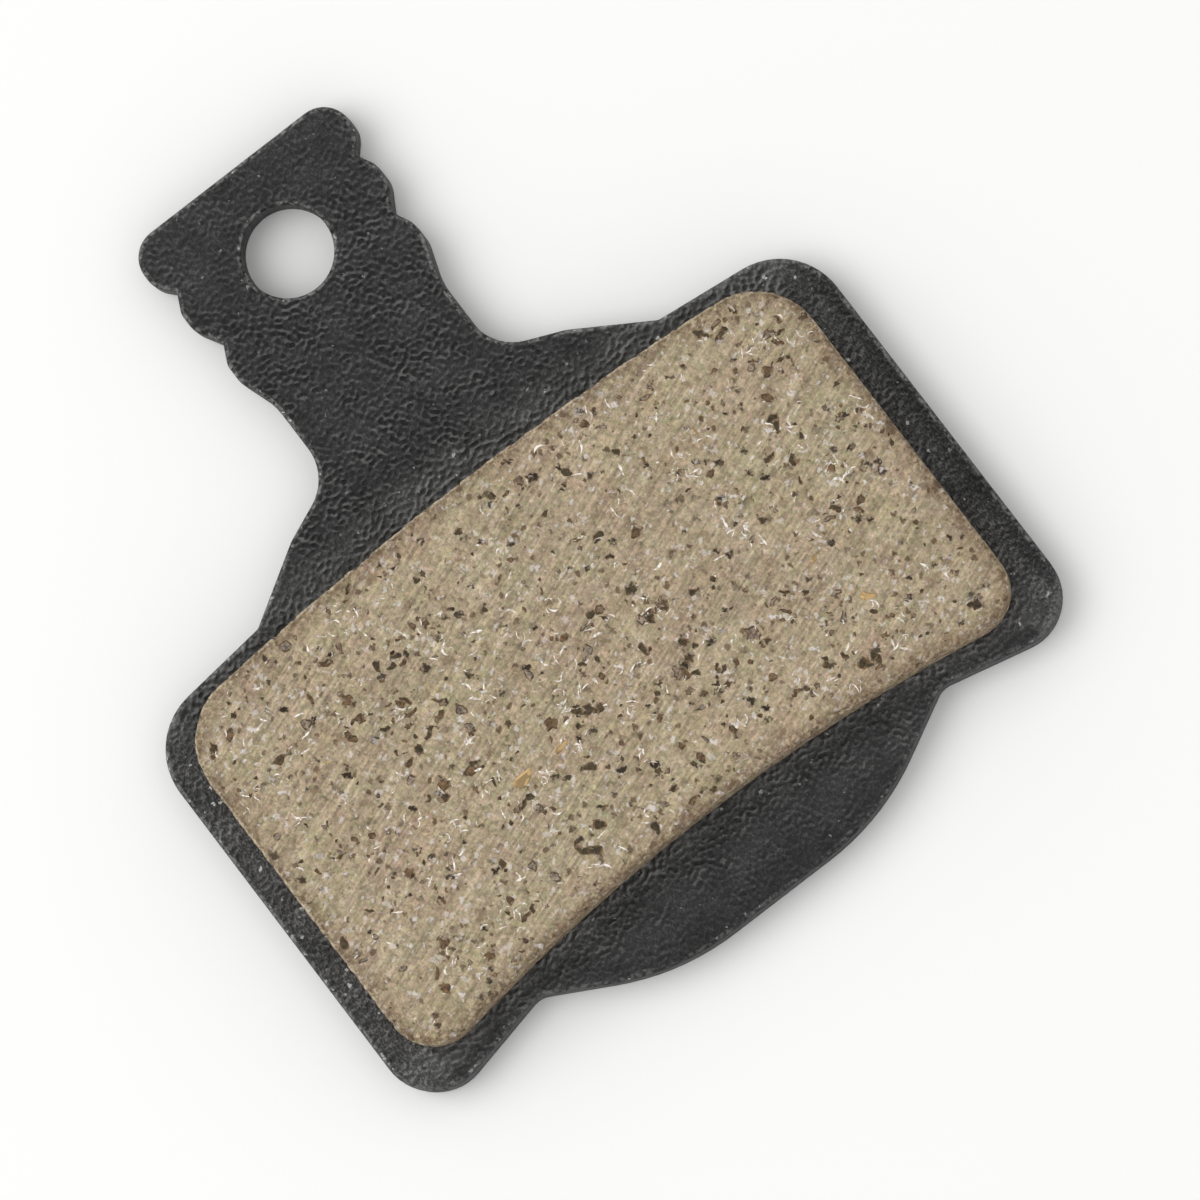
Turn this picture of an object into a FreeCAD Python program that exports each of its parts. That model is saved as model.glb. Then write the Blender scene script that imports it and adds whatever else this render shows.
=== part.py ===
# Bicycle disc brake pad: a stamped steel backing plate with a friction block moulded onto its front.
# Millimetres. The back face, which the piston pushes, lies on Z = 0 with the piston's axis at the origin.
# +Z points to the friction face, +Y to the retaining tab and +X across the pad.
import FreeCAD, Part
import math
import os

# Backing plate: blanked from steel sheet, round on the edge where the punch went in, deburred on the other
PLATE_THICKNESS = 2.0
FRONT_EDGE_ROUND = 0.3
BACK_EDGE_BREAK = 0.15

# Plate body, which slides on its two straight guide edges. Their ends are measured from the piston's axis
BODY_WIDTH = 37.0
GUIDE_TOP = 9.55
GUIDE_BOTTOM = 11.98
TOP_CORNER_ROUND = 3.25
FOOT_ROUND = 2.45

# Bulge of the plate below and above the body, where it backs the round piston
BULGE_SPAN = 22.6
FOOT_RISE = 1.62
BULGE_DROP = 3.0
BULGE_FLAT = 11.3
BULGE_ROUND = 12.0
BULGE_ROOT_ROUND = 1.1
SHOULDER_RISE = 0.81
SHOULDER_ROUND = 0.4
BROW_SPAN = 15.5
BROW_RISE = 2.2
BROW_ROUND = 3.0

# Retaining tab: a neck, then lobes that widen step by step to the head
NECK_WIDTH = 9.26
NECK_RISE = 1.33
NECK_LENGTH = 3.95
NECK_ROOT_ROUND = 2.3
NECK_TOP_ROUND = 2.9
LOBE_COUNT = 2
LOBE_LEAD = 1.8
LOBE_LENGTH = 0.97
LOBE_PITCH = 3.12
LOBE_RISE = 0.62
LOBE_STEP = 0.26
LOBE_FOOT_ROUND = 1.2
LOBE_TOP_ROUND = 0.8
NOTCH_FLANK = 0.92
NOTCH_DEPTH = 0.45
NOTCH_ROUND = 0.25
HEAD_FLANK = 0.78
HEAD_LENGTH = 2.1
HEAD_CORNER_ROUND = 1.4

# Hole for the retaining pin, set back from the tab's end
PIN_DIAMETER = 4.0
PIN_CLEARANCE = 0.1
PIN_HOLE_SETBACK = 4.5
PIN_RIM_ROUND = 0.25

# Friction block: its margins are from the plate's guide edges and their upper and lower corners
LINING_THICKNESS = 2.0
LINING_SIDE_MARGIN = 1.58
LINING_TOP_MARGIN = 0.71
LINING_BOTTOM_MARGIN = 1.75
LINING_SIDE_OFFSET = -0.15
LINING_TOP_RADIUS = 157.0
LINING_BOTTOM_RADIUS = 86.5
LINING_TOP_CORNER_ROUND = 2.9
LINING_BOTTOM_CORNER_ROUND = 2.6
LINING_EDGE_ROUND = 0.25

# Keying holes through the plate, filled by the friction block when it is moulded
KEY_DIAMETER = 4.0
KEY_SPACING = 18.0
KEY_RECESS = 0.2

# Sizes that follow from those above
BODY_HALF = BODY_WIDTH / 2
BULGE_HALF = BULGE_SPAN / 2
BULGE_ROOT = FOOT_RISE - GUIDE_BOTTOM
BULGE_BOTTOM = BULGE_ROOT - BULGE_DROP
SHOULDER = GUIDE_TOP + SHOULDER_RISE
BROW = SHOULDER + BROW_RISE
NECK_HALF = NECK_WIDTH / 2
NECK_ROOT = BROW + NECK_RISE
NECK_TOP = NECK_ROOT + NECK_LENGTH
FIRST_LOBE = NECK_TOP + LOBE_LEAD
LAST_NOTCH = FIRST_LOBE + (LOBE_COUNT - 1) * LOBE_PITCH + LOBE_LENGTH + NOTCH_FLANK
HEAD_FOOT = LAST_NOTCH + HEAD_FLANK
TAB_END = HEAD_FOOT + HEAD_LENGTH
PIN_HOLE_Y = TAB_END - PIN_HOLE_SETBACK
PIN_HOLE_RADIUS = PIN_DIAMETER / 2 + PIN_CLEARANCE
LINING_HALF = BODY_HALF - LINING_SIDE_MARGIN
LINING_TOP_CORNER = GUIDE_TOP - LINING_TOP_MARGIN
LINING_BOTTOM_CORNER = LINING_BOTTOM_MARGIN - GUIDE_BOTTOM
LINING_TOP_RISE = LINING_TOP_RADIUS - math.sqrt(LINING_TOP_RADIUS**2 - LINING_HALF**2)
LINING_BOTTOM_RISE = LINING_BOTTOM_RADIUS - math.sqrt(LINING_BOTTOM_RADIUS**2 - LINING_HALF**2)
KEY_Y = (LINING_TOP_CORNER + LINING_BOTTOM_CORNER) / 2 + LINING_BOTTOM_RISE / 2

# Two places closer than this count as one
SAME_PLACE = 1e-4


def rounded_outline(corners):
    """Closed wire through corners, each (x, y, radius): straight runs joined by tangent arcs.

    Where two arcs would need more than the run between them, both radii shrink to fit it."""
    count = len(corners)
    points = [FreeCAD.Vector(x, y, 0) for x, y, _ in corners]
    runs = [points[(i + 1) % count] - points[i] for i in range(count)]
    ways = [FreeCAD.Vector(run).normalize() for run in runs]
    turns = [ways[i - 1].getAngle(ways[i]) for i in range(count)]
    reach = [corners[i][2] * math.tan(turns[i] / 2) for i in range(count)]
    share = [min(1.0, runs[i].Length / (reach[i] + reach[(i + 1) % count])) for i in range(count)]
    edges = []
    starts = []
    ends = []
    middles = []
    for i in range(count):
        length = reach[i] * min(share[i - 1], share[i])
        starts.append(points[i] - ways[i - 1] * length)
        ends.append(points[i] + ways[i] * length)
        inward = (ways[i] - ways[i - 1]).normalize()
        radius = length / math.tan(turns[i] / 2)
        depth = radius / math.cos(turns[i] / 2) - radius
        middles.append(points[i] + inward * depth)
    for i in range(count):
        edges.append(Part.Arc(starts[i], middles[i], ends[i]).toShape())
        gap = starts[(i + 1) % count] - ends[i]
        if gap.Length > SAME_PLACE:
            edges.append(Part.LineSegment(ends[i], starts[(i + 1) % count]).toShape())
    return Part.Wire(edges)


def tab_side():
    """Corners up the right side of the retaining tab, from the neck's root to the end of the head."""
    corners = [(NECK_HALF, NECK_ROOT, NECK_ROOT_ROUND), (NECK_HALF, NECK_TOP, NECK_TOP_ROUND)]
    for i in range(LOBE_COUNT):
        crest = NECK_HALF + LOBE_RISE + i * LOBE_STEP
        foot = FIRST_LOBE + i * LOBE_PITCH
        top = foot + LOBE_LENGTH
        corners.append((crest, foot, LOBE_FOOT_ROUND))
        corners.append((crest, top, LOBE_TOP_ROUND))
        corners.append((crest - NOTCH_DEPTH, top + NOTCH_FLANK, NOTCH_ROUND))
    head_half = NECK_HALF + LOBE_RISE + LOBE_COUNT * LOBE_STEP
    corners.append((head_half, HEAD_FOOT, LOBE_FOOT_ROUND))
    corners.append((head_half, TAB_END, HEAD_CORNER_ROUND))
    return corners


def plate_outline():
    """The plate's blanked outline: the right half from the bulge up to the tab, then its mirror image."""
    right = [
        (BULGE_FLAT / 2, BULGE_BOTTOM, BULGE_ROUND),
        (BULGE_HALF, BULGE_ROOT, BULGE_ROOT_ROUND),
        (BODY_HALF, -GUIDE_BOTTOM, FOOT_ROUND),
        (BODY_HALF, GUIDE_TOP, TOP_CORNER_ROUND),
        (BULGE_HALF, SHOULDER, SHOULDER_ROUND),
        (BROW_SPAN / 2, BROW, BROW_ROUND),
    ]
    right += tab_side()
    left = [(-x, y, radius) for x, y, radius in reversed(right)]
    return rounded_outline(right + left)


def edges_at(shape, height):
    """Edges of a shape that lie in the level plane at a height."""
    return [
        edge
        for edge in shape.Edges
        if max(abs(edge.BoundBox.ZMin - height), abs(edge.BoundBox.ZMax - height)) < SAME_PLACE
    ]


def uprights_at(shape, y):
    """Upright edges of a shape at a place along Y."""
    return [
        edge
        for edge in shape.Edges
        if edge.BoundBox.YLength < SAME_PLACE and abs(edge.BoundBox.YMin - y) < SAME_PLACE
    ]


def key_places():
    """Centres of the keying holes, on the plate's back face."""
    return [FreeCAD.Vector(side * KEY_SPACING / 2 + LINING_SIDE_OFFSET, KEY_Y, 0) for side in (-1, 1)]


def backing_plate():
    """The blanked plate with round edges, the pin hole with its broken rim, and the keying holes."""
    plate = Part.Face(plate_outline()).extrude(FreeCAD.Vector(0, 0, PLATE_THICKNESS))
    plate = plate.makeFillet(FRONT_EDGE_ROUND, edges_at(plate, PLATE_THICKNESS))
    plate = plate.makeChamfer(BACK_EDGE_BREAK, edges_at(plate, 0))
    pin_hole = Part.makeCylinder(PIN_HOLE_RADIUS, PLATE_THICKNESS, FreeCAD.Vector(0, PIN_HOLE_Y, 0))
    plate = plate.cut(pin_hole)
    rims = [edge for edge in plate.Edges if abs(edge.BoundBox.YLength - 2 * PIN_HOLE_RADIUS) < SAME_PLACE]
    plate = plate.makeFillet(PIN_RIM_ROUND, [edge for edge in rims if edge.BoundBox.ZLength < SAME_PLACE])
    for place in key_places():
        plate = plate.cut(Part.makeCylinder(KEY_DIAMETER / 2, PLATE_THICKNESS, place))
    return plate


def friction_block():
    """The moulded block: an arched outline with round corners, and plugs that fill the keying holes."""
    left = LINING_SIDE_OFFSET - LINING_HALF
    right = LINING_SIDE_OFFSET + LINING_HALF
    middle = LINING_SIDE_OFFSET
    seat = PLATE_THICKNESS
    top_left = FreeCAD.Vector(left, LINING_TOP_CORNER, seat)
    top_right = FreeCAD.Vector(right, LINING_TOP_CORNER, seat)
    top_crown = FreeCAD.Vector(middle, LINING_TOP_CORNER + LINING_TOP_RISE, seat)
    bottom_left = FreeCAD.Vector(left, LINING_BOTTOM_CORNER, seat)
    bottom_right = FreeCAD.Vector(right, LINING_BOTTOM_CORNER, seat)
    bottom_crown = FreeCAD.Vector(middle, LINING_BOTTOM_CORNER + LINING_BOTTOM_RISE, seat)
    outline = Part.Wire(
        [
            Part.Arc(bottom_left, bottom_crown, bottom_right).toShape(),
            Part.LineSegment(bottom_right, top_right).toShape(),
            Part.Arc(top_right, top_crown, top_left).toShape(),
            Part.LineSegment(top_left, bottom_left).toShape(),
        ]
    )
    block = Part.Face(outline).extrude(FreeCAD.Vector(0, 0, LINING_THICKNESS))
    block = block.makeFillet(LINING_TOP_CORNER_ROUND, uprights_at(block, LINING_TOP_CORNER))
    block = block.makeFillet(LINING_BOTTOM_CORNER_ROUND, uprights_at(block, LINING_BOTTOM_CORNER))
    block = block.makeFillet(LINING_EDGE_ROUND, edges_at(block, seat + LINING_THICKNESS))
    for place in key_places():
        bottom = place + FreeCAD.Vector(0, 0, KEY_RECESS)
        block = block.fuse(Part.makeCylinder(KEY_DIAMETER / 2, PLATE_THICKNESS - KEY_RECESS, bottom))
    return block.removeSplitter()


def one_solid(shape):
    """The single solid of a shape."""
    solids = shape.Solids
    if len(solids) != 1:
        raise ValueError(f"expected one solid, got {len(solids)}")
    return solids[0]


def main():
    """Builds both pieces and writes each to its own file."""
    os.makedirs("parts", exist_ok=True)
    for name, build in (("backing_plate", backing_plate), ("friction_block", friction_block)):
        solid = one_solid(build())
        solid.exportStep(f"parts/{name}.step")
        box = solid.optimalBoundingBox(True, False)
        print(f"{name}: {box.XLength:.2f} x {box.YLength:.2f} x {box.ZLength:.2f} mm, {solid.Volume:.1f} mm3")


main()
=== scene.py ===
"""Bicycle disc brake pad: a stamped steel backing plate under a textured black coat, and a ground
semi-metallic friction block with its coke grains, steel fibres and brass chips."""

import logging
import math
import random
from dataclasses import dataclass, field
from enum import Enum
from typing import Callable, Sequence

import bmesh
import bpy
from mathutils import Matrix, Vector
from mathutils.bvhtree import BVHTree
from mathutils.kdtree import KDTree


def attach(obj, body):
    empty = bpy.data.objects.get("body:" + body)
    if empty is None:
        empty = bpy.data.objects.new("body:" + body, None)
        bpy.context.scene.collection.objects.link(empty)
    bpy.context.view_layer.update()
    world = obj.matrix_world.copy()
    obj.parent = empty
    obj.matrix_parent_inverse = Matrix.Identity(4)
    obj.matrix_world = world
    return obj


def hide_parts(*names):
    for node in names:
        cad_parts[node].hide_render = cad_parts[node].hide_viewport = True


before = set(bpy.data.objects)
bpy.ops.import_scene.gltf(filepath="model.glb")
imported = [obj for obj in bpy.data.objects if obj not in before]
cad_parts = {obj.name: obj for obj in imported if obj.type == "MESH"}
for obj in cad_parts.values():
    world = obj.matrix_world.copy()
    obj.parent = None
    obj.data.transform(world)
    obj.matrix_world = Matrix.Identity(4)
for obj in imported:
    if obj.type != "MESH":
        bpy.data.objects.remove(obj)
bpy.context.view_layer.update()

log = logging.getLogger("brake_pad")

MM = 0.001
PER_METRE = (1000.0, 1000.0, 1000.0)
BODY = "root"

ORIGIN = (0.0, 0.0, 0.0)
ACROSS = (1.0, 0.0, 0.0)
DOWN = (0.0, 0.0, -1.0)
MID_GREY = (0.5, 0.5, 0.5)

# Two places closer than this count as one
CLOSE = 0.001
# Share of a direction along Z from which a face counts as level, or an edge as upright
ALONG_Z = 0.9

Colour = tuple[float, float, float, float]
Point = tuple[float, float, float]
Span = tuple[float, float]
Node = bpy.types.Node
Socket = bpy.types.NodeSocket
Links = dict[str | int, object]
Put = Callable[..., Node]


class Element(Enum):
    """What an edit-mode selection is made of."""

    CORNERS = "VERT"
    EDGES = "EDGE"
    FACES = "FACE"


class Metal(Enum):
    """Metals that are chopped into the compound."""

    STEEL = "steel"
    BRASS = "brass"


class Zone(Enum):
    """Where the block is worn."""

    FACE = "ground_face"
    WALL = "moulded_wall"


def linear(hex_colour: str) -> Colour:
    """Turns an sRGB hex colour into the linear numbers that a shader takes.

    Args:
        hex_colour: A colour such as "#A79982".

    Returns:
        Red, green, blue and a full alpha, linear.
    """
    parts = [int(hex_colour[i : i + 2], 16) / 255.0 for i in (1, 3, 5)]
    red, green, blue = (c / 12.92 if c <= 0.04045 else ((c + 0.055) / 1.055) ** 2.4 for c in parts)
    return red, green, blue, 1.0


def add_node(tree: bpy.types.NodeTree, kind: str, links: Links | None = None, **settings: object) -> Node:
    """Adds one node with its settings, its values and its links.

    Args:
        tree: The node tree that gets the node.
        kind: The node's type name without the prefix ShaderNode.
        links: What each input takes, by name or number: a value, a socket, or a node whose
            first live output is meant.
        settings: The node's own properties.

    Returns:
        The new node.
    """
    made = tree.nodes.new("ShaderNode" + kind)
    for name, value in settings.items():
        setattr(made, name, value)
    live = [socket for socket in made.inputs if socket.enabled]
    for key, value in (links or {}).items():
        socket = live[key] if isinstance(key, int) else next(s for s in live if s.name == key)
        if isinstance(value, Node):
            value = next(s for s in value.outputs if s.enabled)
        if isinstance(value, Socket):
            tree.links.new(value, socket)
        else:
            socket.default_value = value
    return made


def blank_material(name: str) -> tuple[bpy.types.Material, Put]:
    """Starts a node material with an empty tree.

    Args:
        name: The material's name, from what it is and how its surface was made.

    Returns:
        The material, and add_node for its tree.
    """
    material = bpy.data.materials.new(name)
    material.use_nodes = True
    tree = material.node_tree
    tree.nodes.clear()

    def put(kind: str, links: Links | None = None, **settings: object) -> Node:
        """Adds one node to this material."""
        return add_node(tree, kind, links, **settings)

    return material, put


def deselect_all() -> None:
    """Leaves nothing selected, so that an operator acts only on what comes next."""
    if bpy.context.mode != "OBJECT":
        bpy.ops.object.mode_set(mode="OBJECT")
    bpy.ops.object.select_all(action="DESELECT")


def select_only(pieces: Sequence[bpy.types.Object]) -> None:
    """Selects these pieces alone and makes the first the active one.

    Args:
        pieces: The pieces, the one to act on first.
    """
    deselect_all()
    for piece in pieces:
        piece.select_set(True)
    bpy.context.view_layer.objects.active = pieces[0]


def pick(piece: bpy.types.Object, element: Element, wanted: Callable[[Vector, Vector], bool]) -> None:
    """Selects corners, edges or faces of a piece in edit mode by their place and direction.

    Args:
        piece: The piece that is in edit mode.
        element: What to select.
        wanted: Test of a place, in the piece's units, and a normal, or for an edge its direction.
    """
    bpy.ops.mesh.select_mode(type=element.value)
    bpy.ops.mesh.select_all(action="DESELECT")
    shape = bmesh.from_edit_mesh(piece.data)
    items = {Element.CORNERS: shape.verts, Element.EDGES: shape.edges, Element.FACES: shape.faces}
    for item in items[element]:
        if element is Element.CORNERS:
            place, way = item.co, item.normal
        elif element is Element.EDGES:
            first, last = (corner.co for corner in item.verts)
            place, way = (first + last) / 2, (last - first).normalized()
        else:
            place, way = item.calc_center_median(), item.normal
        if wanted(place, way):
            item.select_set(True)
    shape.select_flush_mode()
    bmesh.update_edit_mesh(piece.data)


def start_from(name: str) -> bpy.types.Object:
    """Names the primitive just added, puts its place into its mesh and opens it for editing.

    Args:
        name: The piece's name.

    Returns:
        The piece, in edit mode.
    """
    piece = bpy.context.active_object
    piece.name = piece.data.name = name
    bpy.ops.object.transform_apply(location=True, rotation=True, scale=True)
    bpy.ops.object.mode_set(mode="EDIT")
    return piece


def cut_across(places: Sequence[float]) -> None:
    """Cuts the piece in edit mode all through with upright planes.

    Args:
        places: Where the planes stand along X, in the piece's units.
    """
    for place in places:
        bpy.ops.mesh.select_all(action="SELECT")
        bpy.ops.mesh.bisect(plane_co=(place, 0.0, 0.0), plane_no=ACROSS)


def apply_modifier(piece: bpy.types.Object, kind: str, **settings: object) -> None:
    """Adds a modifier to a piece and applies it.

    Args:
        piece: The piece, in object mode.
        kind: The modifier's type.
        settings: The modifier's own properties.
    """
    select_only([piece])
    modifier = piece.modifiers.new(kind.title(), kind)
    for name, value in settings.items():
        setattr(modifier, name, value)
    bpy.ops.object.modifier_apply(modifier=modifier.name)


@dataclass(frozen=True)
class Ramp:
    """A straight change along a value: where it starts and ends, and what it gives there."""

    start: float
    end: float
    first: float = 0.0
    last: float = 1.0

    def along(self, value: Node | Socket) -> Links:
        """Gives the inputs of a Map Range node that makes this change along a value."""
        return {"Value": value, "From Min": self.start, "From Max": self.end,
                "To Min": self.first, "To Max": self.last}


@dataclass(frozen=True)
class Cloud:
    """A soft noise: the size of its blotches in mm, the finer layers on it, their strength and its twist."""

    size_mm: float
    layers: float = 2.0
    roughness: float = 0.5
    twist: float = 0.0

    def over(self, place: Node) -> Links:
        """Gives the inputs of a Noise Texture node that draws this cloud over places in mm."""
        return {"Vector": place, "Scale": 1 / self.size_mm, "Detail": self.layers,
                "Roughness": self.roughness, "Distortion": self.twist}


# For places that are already stretched so that a blotch is 1 long
UNIT_CLOUD = Cloud(1.0)


@dataclass(frozen=True)
class Ridges:
    """Winding ridges with creases between them: their pitch, how they lie and how high they come."""

    pitch_mm: float
    turn_deg: float
    evenness: float
    crest: float = 1.0
    per_cell: float = 1.15
    swing: float = 0.20

    def pattern(self, put: Put, mm: Node) -> Node:
        """Draws the ridges.

        Args:
            put: Adds a node to the finish's tree.
            mm: The place on the piece, mm.

        Returns:
            Their level, 0 in a crease and crest on a ridge.
        """
        cell = 1 / (self.pitch_mm * self.per_cell)
        waves = put("TexGabor", {"Vector": mm, "Scale": cell, "Frequency": self.per_cell,
                                 "Anisotropy": self.evenness, "Orientation": math.radians(self.turn_deg)})
        level = Ramp(0.5 - self.swing, 0.5 + self.swing, 0.0, self.crest)
        return put("MapRange", level.along(waves))


@dataclass(frozen=True)
class Strip:
    """The marked strip of coat along one edge of the block: its strength and its reach in mm."""

    strength: float
    reach: float


@dataclass(frozen=True)
class Mark:
    """One kind of small mark on the coat: colour, cell size in mm, share of cells, reach in its cell."""

    colour: str
    cell_mm: float
    share: float
    reach: float


@dataclass(frozen=True)
class TexturedCoat:
    """Black powder coat, sprayed and baked on a stamped steel plate.

    To the eye it is charcoal with a fine leathery wrinkle, its creases darkened with painted shade and its
    ridges lightened with painted highlight as small glints, hazier on the bulge with painted light below the
    block, brighter beside the block where it is dusted and takes painted light, worn paler on the rounded
    rims where painted highlight also lies, with a few chips.
    """

    name: str = "Black powder coat, baked wrinkle texture"
    # The crease colour is painted shade and the ridge colour painted highlight; the coat colour lies between
    crease: str = "#0C0C0C"
    coat: str = "#272727"
    ridge: str = "#545453"
    # Paler colour of the rims: worn coat, and painted highlight where the rounded rims catch the light
    rubbed: str = "#7B7B79"
    # Colour of the dusted coat beside the block, also standing for painted light that lifts the block's
    # shadow
    dust: str = "#5A5A58"
    wrinkle: Ridges = Ridges(0.345, 74.0, 0.38)
    comb: Ridges = Ridges(0.36, 100.0, 0.5, 1.15)
    relief_mm: float = 0.09
    shear_mm: Point = (0.16, 0.16, 2.5)
    specular: float = 0.24

    # Strips beside the block: full strength over the core's share of the reach, tucked under its edge. Their
    # strengths also set how much painted light lifts the block's shadow beside it
    above: Strip = Strip(1.0, 2.4)
    below: Strip = Strip(1.1, 0.9)
    left: Strip = Strip(1.6, 1.8)
    right: Strip = Strip(1.45, 1.35)
    strip_core: float = 0.35
    strip_tuck_mm: float = 0.6
    dust_gain: float = 0.6
    dust_veil: float = 0.12

    # Small marks: anywhere, beside the block, and on the rims
    specks: Mark = Mark("#7B7B79", 0.34, 0.16, 0.22)
    flecks: Mark = Mark("#BDBCB8", 0.36, 0.30, 0.34)
    # Chips on the rims: bare steel, partly painted glints where the rims catch the light
    chips: Mark = Mark("#B9B8B4", 0.30, 0.60, 0.38)
    mark_edge: Ramp = Ramp(0.0, 0.05)

    # Clouds, and what each one's level changes
    drift: Cloud = Cloud(1.25)
    drift_strength: Ramp = Ramp(0.3, 0.7, 0.34, 1.3)
    pimple: Cloud = Cloud(0.11)
    pimple_height: Ramp = Ramp(0.3, 0.7, -0.18, 0.18)
    haze: Cloud = Cloud(1.7, 4.0, 0.72)
    haze_shade: Ramp = Ramp(0.3, 0.7, 0.5, 1.5)
    worn: Cloud = Cloud(0.769, 5.0, 0.75)
    worn_cluster: Ramp = Ramp(0.44, 0.54)
    dots: Cloud = Cloud(0.2)
    rubbed_patch: Ramp = Ramp(0.92, 1.2)
    score_level: Ramp = Ramp(0.3, 0.7, 0.3, 0.7)

    # Changes along Y, and away from the middle, in mm
    bulge_calm: Ramp = Ramp(-8.5, -11.0, 1.0, 0.45)
    # Painted light that brightens the bulge just below the block, then a darkening towards the bulge's foot
    bulge_light: Ramp = Ramp(-8.6, -9.2, 1.0, 1.27)
    bulge_foot: Ramp = Ramp(-12.7, -11.0, 0.52, 1.0)
    head_calm: Ramp = Ramp(21.0, 26.0, 1.0, 0.55)
    flank_calm: Ramp = Ramp(16.2, 17.2, 1.0, 0.7)
    flank_sand: Ramp = Ramp(16.2, 17.2, 1.0, 2.0)

    # Changes along the surface's turn, 1 on the front face and 0 on the walls
    front: Ramp = Ramp(0.2, 0.5)
    wall: Ramp = Ramp(0.6, 0.3, 0.0, 0.92)
    rim_inner: Ramp = Ramp(0.985, 0.9)
    rim_outer: Ramp = Ramp(0.3, 0.6)

    # Changes along the relief, from crease to ridge: painted shade in the creases, painted highlight on the
    # ridges, and the gloss
    crease_tone: Ramp = Ramp(0.0, 0.5)
    ridge_tone: Ramp = Ramp(0.5, 1.05)
    gloss: Ramp = Ramp(0.0, 1.0, 0.64, 0.42)

    def material(self, block: "FrictionBlock") -> bpy.types.Material:
        """Makes the coat.

        Args:
            block: The friction block, whose outline the marked strips follow.

        Returns:
            The material.
        """
        material, put = blank_material(self.name)
        where = put("TexCoord")
        mm = put("Mapping", {"Vector": where.outputs["Object"], "Scale": PER_METRE})
        turn = put("SeparateXYZ", {0: where.outputs["Normal"]}).outputs["Z"]
        front = put("MapRange", self.front.along(turn))
        strips = put("Math", {0: self.beside(put, mm, block), 1: front}, operation="MULTIPLY")
        bulge = put("MapRange", self.bulge_calm.along(put("SeparateXYZ", {0: mm}).outputs["Y"]))
        relief = self.relief(put, mm, turn, strips, bulge)
        tone = self.tone(put, mm, relief, strips)
        tone = self.wear(put, mm, turn, strips, bulge, tone)
        gloss = put("MapRange", self.gloss.along(relief))
        bump = put("Bump", {"Height": relief, "Distance": self.relief_mm * MM, "Strength": 1.0})
        coat = put("BsdfPrincipled", {"Base Color": tone, "Roughness": gloss, "Normal": bump,
                                      "Specular IOR Level": self.specular})
        put("OutputMaterial", {"Surface": coat})
        return material

    def beside(self, put: Put, mm: Node, block: "FrictionBlock") -> Node:
        """Finds the strips of coat round the block's outline.

        Args:
            put: Adds a node to the coat's tree.
            mm: The place on the plate, mm.
            block: The friction block.

        Returns:
            The strips' strength, 0 away from the block.
        """
        flat = put("VectorMath", {0: mm, 1: (1.0, 1.0, 0.0)}, operation="MULTIPLY")
        across = put("SeparateXYZ", {0: mm}).outputs["X"]
        arches = ((block.top_crown, block.top_radius), (block.bottom_crown, block.bottom_radius))
        centres = [(block.middle, crown - radius, 0.0) for crown, radius in arches]
        top, bottom = (put("VectorMath", {0: flat, 1: centre}, operation="DISTANCE").outputs["Value"]
                       for centre in centres)
        sides = (
            (top, block.top_radius, self.above),
            (block.bottom_radius, bottom, self.below),
            (block.left, across, self.left),
            (across, block.right, self.right),
        )
        strips = 0.0
        for further, nearer, strip in sides:
            gap = put("Math", {0: further, 1: nearer}, operation="SUBTRACT")
            fade = Ramp(self.strip_core * strip.reach, strip.reach, strip.strength, 0.0)
            fade = put("MapRange", fade.along(gap), interpolation_type="SMOOTHSTEP")
            outside = put("Math", {0: gap, 1: -self.strip_tuck_mm}, operation="GREATER_THAN")
            side = put("Math", {0: fade, 1: outside}, operation="MULTIPLY")
            strips = put("Math", {0: strips, 1: side}, operation="MAXIMUM")
        return strips

    def relief(self, put: Put, mm: Node, turn: Socket, strips: Node, bulge: Node) -> Node:
        """Draws the coat's relief: wrinkles, combed strokes beside the block, scores on the walls.

        Args:
            put: Adds a node to the coat's tree.
            mm: The place on the plate, mm.
            turn: How far the surface faces front.
            strips: Strength of the strips beside the block.
            bulge: Share of the wrinkle that is left on the bulge.

        Returns:
            The relief, about 0 in a crease and 1 on a ridge.
        """
        # Moulding and grinding marked the coat beside the block with longer strokes, whose higher crests take
        # more of the painted highlight.
        wrinkle = self.wrinkle.pattern(put, mm)
        comb = self.comb.pattern(put, mm)
        relief = put("Mix", {"Factor": strips, "A": wrinkle, "B": comb})

        # The blanking punch left upright scores on the walls, which show faintly through the coat.
        score = put("Mapping", {"Vector": mm, "Scale": tuple(1 / size for size in self.shear_mm)})
        score = put("MapRange", self.score_level.along(put("TexNoise", UNIT_CLOUD.over(score))))
        wall = put("MapRange", self.wall.along(put("Math", {0: turn}, operation="ABSOLUTE")))
        relief = put("Mix", {"Factor": wall, "A": relief, "B": score})

        # The wrinkle comes and goes, and is weaker on the bulge, the tab's end and the guide edges.
        spread = put("SeparateXYZ", {0: mm})
        flank = put("Math", {0: spread.outputs["X"]}, operation="ABSOLUTE")
        strength = bulge
        for change, level in (
            (self.drift_strength, put("TexNoise", self.drift.over(mm))),
            (self.head_calm, spread.outputs["Y"]),
            (self.flank_calm, flank),
        ):
            share = put("MapRange", change.along(level))
            strength = put("Math", {0: strength, 1: share}, operation="MULTIPLY")
        swing = put("Math", {0: relief, 1: 0.5}, operation="SUBTRACT")
        relief = put("Math", {0: swing, 1: strength, 2: 0.5}, operation="MULTIPLY_ADD")

        # Fine pimples ride on it, higher at the guide edges.
        pimple = put("MapRange", self.pimple_height.along(put("TexNoise", self.pimple.over(mm))))
        sand = put("MapRange", self.flank_sand.along(flank))
        return put("Math", {0: pimple, 1: sand, 2: relief}, operation="MULTIPLY_ADD")

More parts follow.
